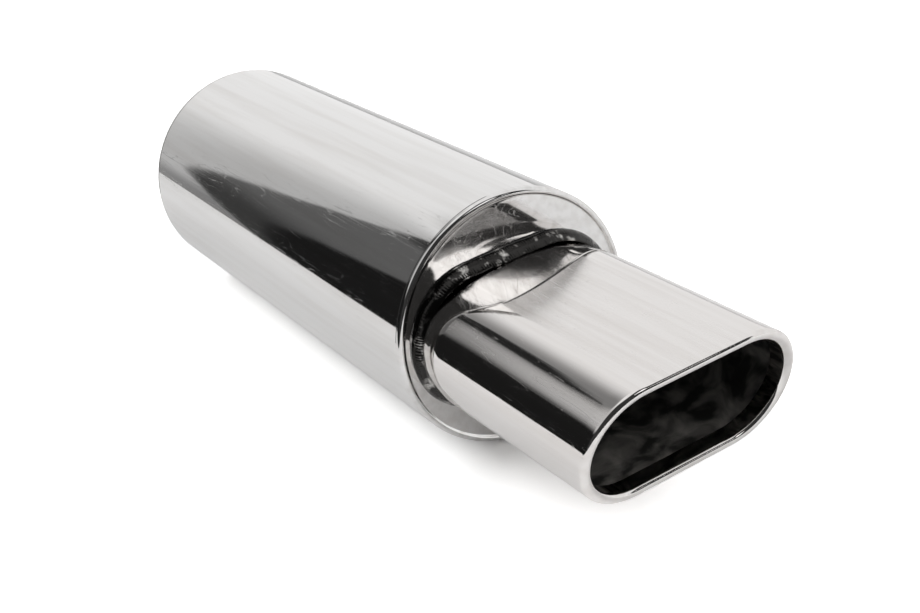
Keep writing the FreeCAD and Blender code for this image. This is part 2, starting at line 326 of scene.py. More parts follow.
# %% Crease
CREASE_TOP = 35.8 * MM
CREASE_SIDE = 18.4 * MM
CREASE_CREST_X = -24.0 * MM
CREASE_LEFT_RUN = 24.3 * MM
CREASE_RIGHT_RUN = 82.0 * MM
CREASE_ROUND = 0.7 * MM
CREASE_ROUND_LEFT = 2.2 * MM
SOFTER_FROM_X = -28 * MM
SOFTER_OVER = 16 * MM


def crease_reach(x):
    """How far the crease lies from the cap face at this place across the tip."""
    if x < CREASE_CREST_X:
        run = (CREASE_CREST_X - x) / CREASE_LEFT_RUN
    else:
        run = (x - CREASE_CREST_X) / CREASE_RIGHT_RUN
    fall = (1 - math.cos(math.pi * min(run, 1.0))) / 2
    return CREASE_TOP - (CREASE_TOP - CREASE_SIDE) * fall


def crease_round(x):
    """The radius of the crease, crisp on the flat and softer down the -X side."""
    share = min(max((SOFTER_FROM_X - x) / SOFTER_OVER, 0.0), 1.0)
    return CREASE_ROUND + (CREASE_ROUND_LEFT - CREASE_ROUND) * share * share * (3 - 2 * share)


print("crease reach in mm at x -50, 0, 50", [round(crease_reach(x * MM) / MM, 1) for x in (-50, 0, 50)])

# %% [markdown]
# The neck is ruled from the oval at the cap to the crease. A straight ruled neck mirrors straight
# bands, and the real one doesn't. So the sheet is drawn sagging between its edges and bowed from
# side to side. Together that lowers it by 2.2 mm at most, and fades out down the sides. The depths
# were chosen by trial, from what the neck mirrors.

# %% Neck
NECK_WIDTH = 107.0 * MM
NECK_HEIGHT = 66.0 * MM
NECK_HOLLOW = 0.8 * MM
NECK_CROWN = 2.6 * MM
CROWN_CREST_X = 5.0 * MM
CROWN_REACH = 50.0 * MM
NECK_SHARES = (0.0, 0.1, 0.2, 0.3, 0.4, 0.5, 0.6, 0.7, 0.8, 0.9, 0.96, 0.985)
CREASE_ROWS = 8
PAST_CREASE = (0.3 * MM, 1.0 * MM, 3.0 * MM)


def dished(point, x, z, half_height, share):
    """The pressed neck sags a little between weld and crease, and is crowned from side to side."""
    steep = min(abs(z) / half_height, 1.0) ** 3
    sag = NECK_HOLLOW * math.sin(math.pi * share)
    aside = min(abs(x - CROWN_CREST_X) / CROWN_REACH, 1.0)
    crown = NECK_CROWN * math.sin(math.pi / 2 * aside) ** 2 * (1 - share * share)
    return point + Vector((0, 0, -math.copysign(1.0, z) * steep * (sag + crown)))


def neck_to_tube(inset):
    """Rings from the cap face through the rounded crease to the straight tube."""
    neck = oval_points(NECK_WIDTH - 2 * inset, NECK_HEIGHT - 2 * inset)
    half_height = NECK_HEIGHT / 2 - inset
    start = [Vector((x, REAR_FACE, z)) for x, z in neck]
    crease = ring_at(inset, lambda x, z: crease_reach(x))
    rounds = [crease_round(point.x) for point in crease]
    before = [c + (s - c).normalized() * r for s, c, r in zip(start, crease, rounds)]
    after = [c + Vector((0, -r, 0)) for c, r in zip(crease, rounds)]
    rings = []
    for share in NECK_SHARES:
        rings.append([
            dished(s.lerp(b, share), x, z, half_height, share)
            for s, b, (x, z) in zip(start, before, neck)
        ])
    for row in range(CREASE_ROWS + 1):
        share = row / CREASE_ROWS
        rings.append([
            b.lerp(c, share).lerp(c.lerp(a, share), share)
            for b, c, a in zip(before, crease, after)
        ])
    for past in PAST_CREASE:
        rings.append([a + Vector((0, -past, 0)) for a in after])
    return rings


# %% [markdown]
# Past the crease the tube runs straight and its rings lean over slowly, until the last one has the
# slant of the mouth. There the sheet is rolled inwards through a half round, with a short return
# inside. A rolled lip looks thick and soft, and the highlight on it runs right round the mouth.

# %% Tube and lip
TUBE_START = CREASE_TOP + 6 * MM
TUBE_ROWS = 16
LIP_RADIUS = 2.7 * MM
LIP_RETURN = 7.0 * MM
LIP_START = TIP_REACH + RIM_RECESS - LIP_RADIUS
LIP_STEPS = 20


def slanted(reach):
    """A reach that leans with the mouth: the top of the tip runs further."""
    return lambda x, z: reach + SLASH_SLOPE * z


def tube_rings(inset):
    """Straight rings between the crease and the mouth, slowly taking on the mouth's slant."""
    rings = []
    for row in range(TUBE_ROWS):
        share = row / (TUBE_ROWS - 1)
        reach = TUBE_START + (LIP_START - TUBE_START) * share
        rings.append(ring_at(inset, lambda x, z: reach + SLASH_SLOPE * z * share))
    return rings


def lip_outer_rings():
    """The lip from the tube's outside round to the end of its return, and the sheet's edge there."""
    rings = []
    for step in range(1, LIP_STEPS + 1):
        turn = math.radians(180 * step / LIP_STEPS)
        inset = LIP_RADIUS * (1 - math.cos(turn))
        rings.append(ring_at(inset, slanted(LIP_START + LIP_RADIUS * math.sin(turn))))
    inside = 2 * LIP_RADIUS
    rings.append(ring_at(inside, slanted(LIP_START - LIP_RETURN)))
    rings.append(ring_at(inside - TIP_WALL, slanted(LIP_START - LIP_RETURN)))
    return rings


def lip_inner_rings():
    """The hollow side of the lip, back to the inside of the tube."""
    hollow = LIP_RADIUS - TIP_WALL
    rings = []
    for step in range(LIP_STEPS, 0, -1):
        turn = math.radians(180 * step / LIP_STEPS)
        inset = LIP_RADIUS - hollow * math.cos(turn)
        rings.append(ring_at(inset, slanted(LIP_START + hollow * math.sin(turn))))
    return rings


# %% Tip sheet
outside = neck_to_tube(0.0) + tube_rings(0.0)
polished = outside + lip_outer_rings()
inside = list(reversed(neck_to_tube(TIP_WALL) + tube_rings(TIP_WALL)))
tip = sheet_from_rings("tip_sheet", polished + lip_inner_rings() + inside, ["tail_tip"])
# The faces from here on are the tip's inside, which gets painted shade.
first_shaded_face = len(polished) * len(polished[0])

# %% [markdown]
# The tube's flats and shoulders look ground on a belt, and the rest of the tip only buffed.
# The mesh carries that as a number at each point, 1 where it is ground and 0 where it isn't, and the
# finish reads it. A number on the mesh stays with the metal in every view.

# %% Ground metal
FLAT_FADE = 1.5 * MM
SHOULDER_TOP = 58
SHOULDER_TOP_FADE = 3
SHOULDER_FOOT = 36
SHOULDER_FOOT_FADE = 8


def held_between(value):
    """The value, kept between 0 and 1."""
    return min(max(value, 0.0), 1.0)


def ground_share(point):
    """1 on the flats and on the shoulders that lean between the two angles, 0 elsewhere."""
    beyond = abs(point.x) - (TIP_WIDTH - TIP_HEIGHT) / 2
    flat = held_between(1 - beyond / FLAT_FADE)
    lean = math.degrees(math.atan2(abs(point.z), max(beyond, 0.0)))
    below_top = held_between((SHOULDER_TOP - lean) / SHOULDER_TOP_FADE)
    above_foot = held_between((lean - SHOULDER_FOOT) / SHOULDER_FOOT_FADE)
    return max(flat, below_top * above_foot)


def mark_ground_metal(piece, first_ring):
    """Writes the share of grinding at each point of the tube's outside."""
    values = piece.data.attributes.new("belt_ground", "FLOAT", "POINT")
    count = len(outside[0])
    for ring in range(first_ring, len(outside)):
        for column, point in enumerate(outside[ring]):
            values.data[ring * count + column].value = ground_share(point)
    print("rings with ground metal", len(outside) - first_ring)


mark_ground_metal(tip, len(NECK_SHARES) + CREASE_ROWS)

# %% [markdown]
# The weld round the neck was laid by hand, so it is a row of overlapping ripples of uneven width. It
# is built as real ripples, because at this size they catch separate glints that bump can't give.
# The unsteadiness is a sum of three sine waves, which wanders like a hand and is the same each time.

# %% Path of the weld
WANDER_WAVES = ((61.0, 1.0, 0.5), (143.0, 2.3, 0.3), (317.0, 4.1, 0.2))
BEAD_STEPS = 1100


def wander(place, seed):
    """A slow uneven wave between -1 and 1. Each part wave has a pace, a shift and a height."""
    return sum(math.sin(place * pace + seed * shift) * height for pace, shift, height in WANDER_WAVES)


def even_outline(width, height, steps):
    """Points and outward directions at even spacing round an oblong outline."""
    radius = height / 2
    half_flat = width / 2 - radius
    flat = 2 * half_flat
    side = math.pi * radius
    length = 2 * (flat + side)
    found = []
    for step in range(steps):
        place = length * step / steps
        sign = 1
        run = place
        if run >= flat + side:
            run -= flat + side
            sign = -1
        if run < flat:
            point = Vector((sign * (run - half_flat), 0, sign * radius))
            outward = Vector((0, 0, sign))
        else:
            angle = math.pi / 2 - (run - flat) / radius
            outward = Vector((sign * math.cos(angle), 0, sign * math.sin(angle)))
            point = Vector((sign * half_flat, 0, 0)) + outward * radius
        found.append((place, point, outward))
    return found, length


weld_path, weld_length = even_outline(NECK_WIDTH, NECK_HEIGHT, BEAD_STEPS)
print("the weld is", round(weld_length / MM), "mm long")

# %% [markdown]
# Across the bead the metal swells in a bow, and along it each ripple is a broad crest with a narrow
# dip after it. They follow one another every 1.3 mm on average, and some stand up more than others.

# %% Weld bead
BEAD_WIDTH = 3.4 * MM
BEAD_LENGTH = 6.2 * MM
BEAD_ROWS = 10
BEAD_SWELL = 0.55 * MM
BEAD_SINK = 0.3 * MM
ROOT_DEPTH = 0.9 * MM
RIPPLE_PITCH = 1.3 * MM
RIPPLE_HEIGHT = 0.22 * MM
RIPPLE_BOW = 1.9
RIPPLE_FULLNESS = 0.6
SWELL_OUT = 0.85
SWELL_FORWARD = 0.5


def ripple_at(place, bow):
    """How high the ripples stand here, from 0 to 1."""
    turns = round(weld_length / RIPPLE_PITCH)
    uneven = 2.4 * wander(place, seed=3.3) + 1.6 * wander(place * 6, seed=8.8)
    phase = 2 * math.pi * (turns * place / weld_length) + RIPPLE_BOW * bow + uneven
    crest = (0.5 + 0.5 * math.sin(phase)) ** RIPPLE_FULLNESS
    return crest * (0.5 + 0.5 * wander(place * 9, seed=2.9))


def bead_point(place, point, outward, across):
    """A point of the bead. across runs from 0 on the cap to 1 on the neck."""
    width = BEAD_WIDTH * (1 + 0.10 * wander(place, seed=1.7))
    reach = BEAD_LENGTH * (1 + 0.08 * wander(place, seed=5.2))
    bow = 4 * across * (1 - across)
    swell = bow * (BEAD_SWELL + RIPPLE_HEIGHT * ripple_at(place, bow))
    out = width * (1 - across) - BEAD_SINK * across
    along = REAR_FACE - reach * across - swell * SWELL_FORWARD
    return point + outward * (out + swell * SWELL_OUT) + Vector((0, along, 0))


def bead_rings():
    """The bead's foot in the cap, its face, and its root inside the neck's wall."""
    rings = []
    for row in range(BEAD_ROWS + 1):
        rings.append([bead_point(*spot, row / BEAD_ROWS) for spot in weld_path])
    foot = [point + Vector((0, ROOT_DEPTH, 0)) for point in rings[0]]
    root, base = [], []
    for _, point, outward in weld_path:
        sunk = point - outward * ROOT_DEPTH
        root.append(sunk + Vector((0, REAR_FACE - BEAD_LENGTH, 0)))
        base.append(sunk + Vector((0, REAR_FACE, 0)))
    return [foot] + rings + [root, base]


tip_bead = sheet_from_rings("tip_bead", bead_rings(), ["tip_weld"])

# %% [markdown]
# Finishes. A stainless mirror is never perfect: the polishing wheel leaves fine lines, handling
# leaves hairline scratches, and thin sheet is a little wavy. Those three things tell the eye that
# this is polished steel and not chrome. Two small helpers keep the node trees short to read.

# %% Material helpers


def linear(hex_colour):
    """An sRGB hex colour as linear RGBA."""
    values = []
    for start in (1, 3, 5):
        value = int(hex_colour[start:start + 2], 16) / 255
        values.append(value / 12.92 if value <= 0.04045 else ((value + 0.055) / 1.055) ** 2.4)
    return (*values, 1.0)


def add(tree, kind, settings=None, inputs=None, links=None):
    """Adds a node with its settings, its input values and its links."""
    node = tree.nodes.new(kind)
    for key, value in (settings or {}).items():
        setattr(node, key, value)
    for key, value in (inputs or {}).items():
        node.inputs[key].default_value = value
    for key, source in (links or {}).items():
        tree.links.new(source, node.inputs[key])
    return node


def empty_material(name):
    """A material with no nodes yet."""
    material = bpy.data.materials.new(name)
    material.use_nodes = True
    material.node_tree.nodes.clear()
    print("material", name)
    return material, material.node_tree


def surface_material(name):
    """A material with one shader on its surface, ready for the finish's own nodes."""
    material, tree = empty_material(name)
    shader = add(tree, "ShaderNodeBsdfPrincipled")
    add(tree, "ShaderNodeOutputMaterial", links={"Surface": shader.outputs["BSDF"]})
    return material, tree, shader


# %% [markdown]
# Patterns on worked metal are drawn out along the part, because the wheel and the belt ran that way.
# A noise whose space is squeezed in one direction gives such streaks. Hairline scratches are the
# contour lines of such a noise: thin, slightly bent and broken, as real ones are. A real hairline is
# a few hundredths of a millimetre wide, so they are drawn some times wider, as much as they need to
# show.

# %% Streaks and hairlines
HAIR_SLENDER = 14
HAIR_LEVEL = 0.52
BREAKS_IN_LENGTH = 3.2


def drawn_out(tree, place, width, squeeze):
    """Texture space for streaks along Y. squeeze is their width over their length."""
    return add(
        tree, "ShaderNodeMapping", inputs={"Scale": (1 / width, squeeze / width, 1 / width)},
        links={"Vector": place.outputs["Object"]})


def hairlines(tree, place, turn, length, width, seed):
    """A mask of scratches. length is in metres, and width a share of the noise's whole range."""
    across = HAIR_SLENDER / length
    drawn = add(
        tree, "ShaderNodeMapping",
        inputs={"Location": (seed, seed, seed), "Rotation": turn, "Scale": (across, 1 / length, across)},
        links={"Vector": place.outputs["Object"]})
    field = add(
        tree, "ShaderNodeTexNoise", inputs={"Scale": 1.0, "Detail": 1.5, "Roughness": 0.4},
        links={"Vector": drawn.outputs["Vector"]})
    offset = add(
        tree, "ShaderNodeMath", {"operation": "SUBTRACT"}, {1: HAIR_LEVEL}, {0: field.outputs["Fac"]})
    distance = add(tree, "ShaderNodeMath", {"operation": "ABSOLUTE"}, links={0: offset.outputs[0]})
    line = add(
        tree, "ShaderNodeMapRange",
        inputs={"From Min": 0.0, "From Max": width, "To Min": 1.0, "To Max": 0.0},
        links={"Value": distance.outputs[0]})
    breaks = add(
        tree, "ShaderNodeTexNoise", inputs={"Scale": BREAKS_IN_LENGTH / length, "Detail": 2.0},
        links={"Vector": place.outputs["Object"]})
    kept = add(
        tree, "ShaderNodeMapRange",
        inputs={"From Min": 0.50, "From Max": 0.60, "To Min": 0.0, "To Max": 1.0},
        links={"Value": breaks.outputs["Fac"]})
    mask = add(
        tree, "ShaderNodeMath", {"operation": "MULTIPLY"},
        links={0: line.outputs["Result"], 1: kept.outputs["Result"]})
    return mask.outputs[0]


# %% [markdown]
# The sheet is 304 stainless, a slightly warm pale grey. It was taken to a mirror on a buffing wheel,
# so it is very smooth, with lines that are only a little rougher. On buffed sheet such lines are
# hundredths of a millimetre apart. Here they are 0.45 mm apart, so that they show. The streaks of
# tone are about 5 mm wide, and the waves in the thin sheet about 60 mm long. Each scratch is duller
# than the mirror round it and cut a few thousandths of a millimetre deep.

# %% Buffed stainless sheet
LINE_SPACING = 0.45 * MM
LINE_SQUEEZE = 0.010
STREAK_WIDTH = 5.0 * MM
STREAK_SQUEEZE = 0.04
WAVE_WIDTH = 60.0 * MM
LONG_SCRATCH = 60 * MM
CROSS_SCRATCH = 34 * MM
SCRATCH_DEPTH = 0.004 * MM
SCRATCH_DULLING = 0.16


def scratch_mask(tree, place):
    """Two sets of hairlines: long ones near the part's own direction and short ones across it."""
    long_marks = hairlines(tree, place, (0.0, 0.0, 0.05), LONG_SCRATCH, 0.010, 3.1)
    cross_marks = hairlines(tree, place, (0.2, 0.3, 0.75), CROSS_SCRATCH, 0.008, 7.7)
    marks = add(
        tree, "ShaderNodeMath", {"operation": "MAXIMUM"}, links={0: long_marks, 1: cross_marks})
    return marks.outputs[0]


def streaked_colour(tree, place, light, dark):
    """The metal's tone, which drifts in broad streaks along the part."""
    broad = drawn_out(tree, place, STREAK_WIDTH, STREAK_SQUEEZE)
    streaks = add(
        tree, "ShaderNodeTexNoise", inputs={"Scale": 1.0, "Detail": 5.0},
        links={"Vector": broad.outputs["Vector"]})
    spread = add(
        tree, "ShaderNodeMapRange",
        inputs={"From Min": 0.42, "From Max": 0.72, "To Min": 0.0, "To Max": 1.0},
        links={"Value": streaks.outputs["Fac"]})
    colour = add(
        tree, "ShaderNodeMix", {"data_type": "RGBA"},
        {"A": linear(light), "B": linear(dark)}, {"Factor": spread.outputs["Result"]})
    return colour.outputs["Result"]


def sheet_roughness(tree, lines, marks, smooth, haze, ground):
    """Smooth between the lines, haze on the roughest of them, more on scratches and ground metal."""
    sheen = add(
        tree, "ShaderNodeMapRange",
        inputs={"From Min": 0.50, "From Max": 0.78, "To Min": smooth, "To Max": haze},
        links={"Value": lines})
    belt = add(tree, "ShaderNodeAttribute", {"attribute_name": "belt_ground"})
    ground_part = add(
        tree, "ShaderNodeMath", {"operation": "MULTIPLY"}, {1: ground}, {0: belt.outputs["Fac"]})
    duller = add(
        tree, "ShaderNodeMath", {"operation": "MULTIPLY_ADD"}, {1: SCRATCH_DULLING},
        {0: marks, 2: sheen.outputs["Result"]})
    rough = add(
        tree, "ShaderNodeMath", {"operation": "ADD"},
        links={0: duller.outputs[0], 1: ground_part.outputs[0]})
    return rough.outputs[0]


def sheet_relief(tree, place, lines, marks, line_depth, wave_depth):
    """The sheet's slow waves, the wheel's lines on them, and the scratches cut into both."""
    waves = add(
        tree, "ShaderNodeTexNoise", inputs={"Scale": 1 / WAVE_WIDTH, "Detail": 1.0},
        links={"Vector": place.outputs["Object"]})
    wave_bump = add(
        tree, "ShaderNodeBump", inputs={"Strength": 1.0, "Distance": wave_depth},
        links={"Height": waves.outputs["Fac"]})
    line_bump = add(
        tree, "ShaderNodeBump", inputs={"Strength": 1.0, "Distance": line_depth},
        links={"Height": lines, "Normal": wave_bump.outputs["Normal"]})
    mark_bump = add(
        tree, "ShaderNodeBump", {"invert": True}, {"Strength": 1.0, "Distance": SCRATCH_DEPTH},
        {"Height": marks, "Normal": line_bump.outputs["Normal"]})
    return mark_bump.outputs["Normal"]


def buffed_stainless(name, light, dark, smooth, haze, line_depth, wave_depth, ground=0.0):
    """Stainless sheet with the wheel's lines. ground is what grinding adds to its roughness."""
    material, tree, shader = surface_material(name)
    place = add(tree, "ShaderNodeTexCoord")
    along = drawn_out(tree, place, LINE_SPACING, LINE_SQUEEZE)
    noise = add(
        tree, "ShaderNodeTexNoise", inputs={"Scale": 1.0, "Detail": 3.0},
        links={"Vector": along.outputs["Vector"]})
    lines = noise.outputs["Fac"]
    marks = scratch_mask(tree, place)
    colour = streaked_colour(tree, place, light, dark)
    rough = sheet_roughness(tree, lines, marks, smooth, haze, ground)
    relief = sheet_relief(tree, place, lines, marks, line_depth, wave_depth)
    shader.inputs["Metallic"].default_value = 1.0
    tree.links.new(colour, shader.inputs["Base Color"])
    tree.links.new(rough, shader.inputs["Roughness"])
    tree.links.new(relief, shader.inputs["Normal"])
    return material


# %% [markdown]
# The can and the caps are polished nearly alike. The tip is a little warmer in tone, and its lines
# are deeper, as grinding leaves them. The inlet pipe has the dull grey skin that the mill gives.

# %% Four sheet finishes
can_finish = buffed_stainless(
    "buffed_can_stainless", "#DEDDDC", "#D5D3D1",
    smooth=0.04, haze=0.12, line_depth=0.0004 * MM, wave_depth=0.035 * MM)
cap_finish = buffed_stainless(
    "buffed_cap_stainless", "#DEDDDC", "#CFCDCB",
    smooth=0.05, haze=0.12, line_depth=0.0004 * MM, wave_depth=0.02 * MM)
tip_finish = buffed_stainless(
    "buffed_tip_stainless", "#E0DDDB", "#D6D2CF",
    smooth=0.04, haze=0.14, line_depth=0.0006 * MM, wave_depth=0.02 * MM, ground=0.16)
mill_finish = buffed_stainless(
    "mill_stainless", "#BEBDBB", "#A5A3A1",
    smooth=0.28, haze=0.45, line_depth=0.0020 * MM, wave_depth=0.02 * MM)

# %% [markdown]
# Weld metal sets under a dark skin of oxide, here worn bright in patches of some 7 mm. The skin's
# real grain is too fine to show, so it is drawn 0.9 mm coarse.

# %% Weld metal
WELD_GRAIN = 0.9 * MM
WELD_PATCH = 7 * MM


def weld_metal():
    """Filler metal left as it set: a dark oxide skin, worn bright in patches."""
    material, tree, shader = surface_material("set_weld_metal")
    place = add(tree, "ShaderNodeTexCoord")
    grain = add(
        tree, "ShaderNodeTexNoise", inputs={"Scale": 1 / WELD_GRAIN, "Detail": 5.0},
        links={"Vector": place.outputs["Object"]})
    patches = add(
        tree, "ShaderNodeTexNoise", inputs={"Scale": 1 / WELD_PATCH, "Detail": 3.0},
        links={"Vector": place.outputs["Object"]})
    worn = add(
        tree, "ShaderNodeMapRange",
        inputs={"From Min": 0.54, "From Max": 0.66, "To Min": 0.0, "To Max": 1.0},
        links={"Value": patches.outputs["Fac"]})
    colour = add(
        tree, "ShaderNodeMix", {"data_type": "RGBA"},
        {"A": linear("#343332"), "B": linear("#B9B7B4")}, {"Factor": worn.outputs["Result"]})
    sheen = add(
        tree, "ShaderNodeMapRange",
        inputs={"From Min": 0.35, "From Max": 0.7, "To Min": 0.08, "To Max": 0.26},
        links={"Value": grain.outputs["Fac"]})
    bump = add(
        tree, "ShaderNodeBump", inputs={"Strength": 0.7, "Distance": 0.10 * MM},
        links={"Height": grain.outputs["Fac"]})
    shader.inputs["Metallic"].default_value = 1.0
    tree.links.new(colour.outputs["Result"], shader.inputs["Base Color"])
    tree.links.new(sheen.outputs["Result"], shader.inputs["Roughness"])
    tree.links.new(bump.outputs["Normal"], shader.inputs["Normal"])
    return material


bead_finish = weld_metal()

# %% [markdown]
# Inside the mouth the steel is painted nearly black, which is painted shade deep in the tube. It is a
# paler grey in soft patches that vary at random and are about 16 mm wide here.

# %% Painted shade inside the tip
GREY_PATCH = 16 * MM


def painted_shade_steel():
    """The gas side of the tip: steel painted nearly black as painted shade, paler grey in random
    patches.
    """
    material, tree, shader = surface_material("painted_shade_steel")
    place = add(tree, "ShaderNodeTexCoord")
    patches = add(
        tree, "ShaderNodeTexNoise", inputs={"Scale": 1 / GREY_PATCH, "Detail": 5.0, "Distortion": 0.8},
        links={"Vector": place.outputs["Object"]})
    paler_share = add(
        tree, "ShaderNodeMapRange",
        inputs={"From Min": 0.42, "From Max": 0.72, "To Min": 0.0, "To Max": 1.0},
        links={"Value": patches.outputs["Fac"]})
    # Painted shade: near black stands for the shade in the tube, and the grey patches vary at random.
    colour = add(
        tree, "ShaderNodeMix", {"data_type": "RGBA"},
        {"A": linear("#262625"), "B": linear("#83807C")}, {"Factor": paler_share.outputs["Result"]})
    bump = add(
        tree, "ShaderNodeBump", inputs={"Strength": 0.5, "Distance": 0.1 * MM},
        links={"Height": patches.outputs["Fac"]})
    shader.inputs["Metallic"].default_value = 0.35
    shader.inputs["Roughness"].default_value = 0.36
    tree.links.new(colour.outputs["Result"], shader.inputs["Base Color"])
    tree.links.new(bump.outputs["Normal"], shader.inputs["Normal"])
    return material


inside_shade_finish = painted_shade_steel()

# %% [markdown]
# Steel wool and glass fibre fill the can. They can't be seen from outside, so one soft matted finish
# in two colours does for both. Their strands are hundredths of a millimetre thick or less, and are
# drawn as tufts of 1 and 2 mm.

# %% Packing fibres


def matted_fibre(name, light, dark, tuft):
    """A blanket of loose fibre, which looks soft and uneven."""
    material, tree, shader = surface_material(name)
    place = add(tree, "ShaderNodeTexCoord")
    tangle = add(
        tree, "ShaderNodeTexNoise", inputs={"Scale": 1 / tuft, "Detail": 8.0, "Distortion": 2.0},
        links={"Vector": place.outputs["Object"]})
    colour = add(
        tree, "ShaderNodeMix", {"data_type": "RGBA"},
        {"A": linear(dark), "B": linear(light)}, {"Factor": tangle.outputs["Fac"]})
    bump = add(
        tree, "ShaderNodeBump", inputs={"Strength": 0.8, "Distance": 0.4 * MM},
        links={"Height": tangle.outputs["Fac"]})
    shader.inputs["Roughness"].default_value = 0.9
    tree.links.new(colour.outputs["Result"], shader.inputs["Base Color"])
    tree.links.new(bump.outputs["Normal"], shader.inputs["Normal"])
    return material


wool_finish = matted_fibre("steel_wool_fibre", "#8F8E8C", "#4A4948", 1.0 * MM)
glass_finish = matted_fibre("glass_fibre_mat", "#EFEBDD", "#CFC9B5", 2.0 * MM)

# %% [markdown]
# Each piece gets its finish. The tip needs two, since its gas side carries painted shade, so the faces
# from the end of the lip's return inwards take the second one. The solids that no piece replaces keep
# their
# own mesh and only get a finish.

# %% Finishes onto the pieces
PIECE_FINISHES = (
    (can, can_finish),
    (rear_cap, cap_finish),
    (front_cap, cap_finish),
    (inlet, mill_finish),
    (tip, tip_finish),
    (tip_bead, bead_finish),
)
NODE_FINISHES = {
    "inlet_weld": bead_finish,
    "core_weld_front": bead_finish,
    "core_weld_rear": bead_finish,
    "perforated_core": mill_finish,
    "steel_wool_wrap": wool_finish,
    "glass_fibre_packing": glass_finish,
}

for piece, material in PIECE_FINISHES:
    piece.data.materials.clear()
    piece.data.materials.append(material)
tip.data.materials.append(inside_shade_finish)
# The inside of the tip takes the painted shade.
for polygon in tip.data.polygons:
    if polygon.index >= first_shaded_face:
        polygon.material_index = 1
for node_name, material in NODE_FINISHES.items():
    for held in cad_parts[node_name].material_slots:
        held.material = material
print("finished", len(PIECE_FINISHES), "pieces and", len(NODE_FINISHES), "solids")

# %% [markdown]
# The studio. Polished metal has no look of its own, so a photographer stands panels round it: white
# ones give the pale stretches, and black ones give the dark bands that show its roundness. Here the
# part lies on pale paper in a white room. Lit at this plain level the paper is a pale grey. So the
# camera sees it brighter than it is, enough to make it white and still show the shadow on it, and
# the metal mirrors it a little brighter too. What the paper gives back as light stays as it is.

# %% Floor
FLOOR_LEFT = -0.34
FLOOR_RIGHT = 1.60
FLOOR_NEAR = -0.75
FLOOR_FAR = 1.60
PAPER_COLOUR = "#F5F5F5"
PAPER_EXPOSURE = 1.9
MIRRORED_EXPOSURE = 1.05


def paper_material():
    """Matt white paper that is brighter to the camera, and a little brighter in the metal."""
    material, tree = empty_material("matt_white_paper")
    path = add(tree, "ShaderNodeLightPath")
    paper = linear(PAPER_COLOUR)
    burnt_out = tuple(value * PAPER_EXPOSURE for value in paper[:3]) + (1.0,)
    lifted = tuple(value * MIRRORED_EXPOSURE for value in paper[:3]) + (1.0,)
    seen_in_metal = add(
        tree, "ShaderNodeMath", {"operation": "ADD", "use_clamp": True},
        links={0: path.outputs["Is Glossy Ray"], 1: path.outputs["Is Transmission Ray"]})
    mirrored = add(
        tree, "ShaderNodeMix", {"data_type": "RGBA"}, {"A": paper, "B": lifted},
        {"Factor": seen_in_metal.outputs[0]})
    shown = add(
        tree, "ShaderNodeMix", {"data_type": "RGBA"}, {"B": burnt_out},
        {"A": mirrored.outputs["Result"], "Factor": path.outputs["Is Camera Ray"]})
    matt = add(tree, "ShaderNodeBsdfDiffuse", links={"Color": shown.outputs["Result"]})
    add(tree, "ShaderNodeOutputMaterial", links={"Surface": matt.outputs[0]})
    return material


def pale_floor():
    """One flat sheet at the height of the can's lowest line."""
    mesh = bpy.data.meshes.new("floor")
    corners = [
        (FLOOR_LEFT, FLOOR_NEAR, cad_low.z), (FLOOR_RIGHT, FLOOR_NEAR, cad_low.z),
        (FLOOR_RIGHT, FLOOR_FAR, cad_low.z), (FLOOR_LEFT, FLOOR_FAR, cad_low.z),
    ]
    mesh.from_pydata(corners, [], [(0, 1, 2, 3)])
    mesh.materials.append(paper_material())
    floor = bpy.data.objects.new("floor", mesh)
    bpy.context.collection.objects.link(floor)
    print("the floor lies at", round(cad_low.z / MM, 1), "mm")


pale_floor()

# %% [markdown]
# Each panel is a patch of a large ball round the part, set by compass direction and height in
# degrees. It has one tone and fades out at its edges, as a soft light does. The panels are only
# there for the metal to mirror. They cast no shade and the camera doesn't see them, so the
# background stays white from any side.

# %% Studio panels
PANEL_DISTANCE = 6.0
PANEL_STEPS = 24
PANEL_CENTRE = Vector((0.0, -0.30, 0.0))


def direction(turn, height):
    """The way to a place in the studio, in degrees from +Y towards +X and up from the floor."""
    side = math.radians(turn)
    lift = math.radians(height)
    return Vector((math.sin(side) * math.cos(lift), math.cos(side) * math.cos(lift), math.sin(lift)))


def panel_material(name, tone, fades):
    """A panel of one tone. fades are the shares of it that fade out at left, right, foot and head."""
    material, tree = empty_material(name)
    place = add(tree, "ShaderNodeTexCoord")
    parts = add(tree, "ShaderNodeSeparateXYZ", links={"Vector": place.outputs["UV"]})
    cover = None
    for axis, edge, share in zip("XXYY", (0.0, 1.0, 0.0, 1.0), fades):
        inner = share if edge == 0.0 else 1.0 - share
        mask = add(
            tree, "ShaderNodeMapRange", {"interpolation_type": "SMOOTHSTEP"},
            {"From Min": edge, "From Max": inner, "To Min": 0.0, "To Max": 1.0},
            {"Value": parts.outputs[axis]})
        if cover is None:
            cover = mask.outputs["Result"]
        else:
            both = add(
                tree, "ShaderNodeMath", {"operation": "MULTIPLY"},
                links={0: cover, 1: mask.outputs["Result"]})
            cover = both.outputs[0]
    clear = add(tree, "ShaderNodeBsdfTransparent")
    glow = add(tree, "ShaderNodeEmission", inputs={"Color": (tone, tone, tone, 1.0), "Strength": 1.0})
    mixed = add(
        tree, "ShaderNodeMixShader", links={0: cover, 1: clear.outputs[0], 2: glow.outputs[0]})
    add(tree, "ShaderNodeOutputMaterial", links={"Surface": mixed.outputs[0]})
    return material


def row_edges(rows, height):
    """The panel's left and right edge at this height, between the two rows next to it."""
    lower = max(index for index in range(len(rows) - 1) if rows[index][0] <= height)
    below, above = rows[lower], rows[lower + 1]
    share = (height - below[0]) / (above[0] - below[0])
    return [below[side] + (above[side] - below[side]) * share for side in (1, 2)]


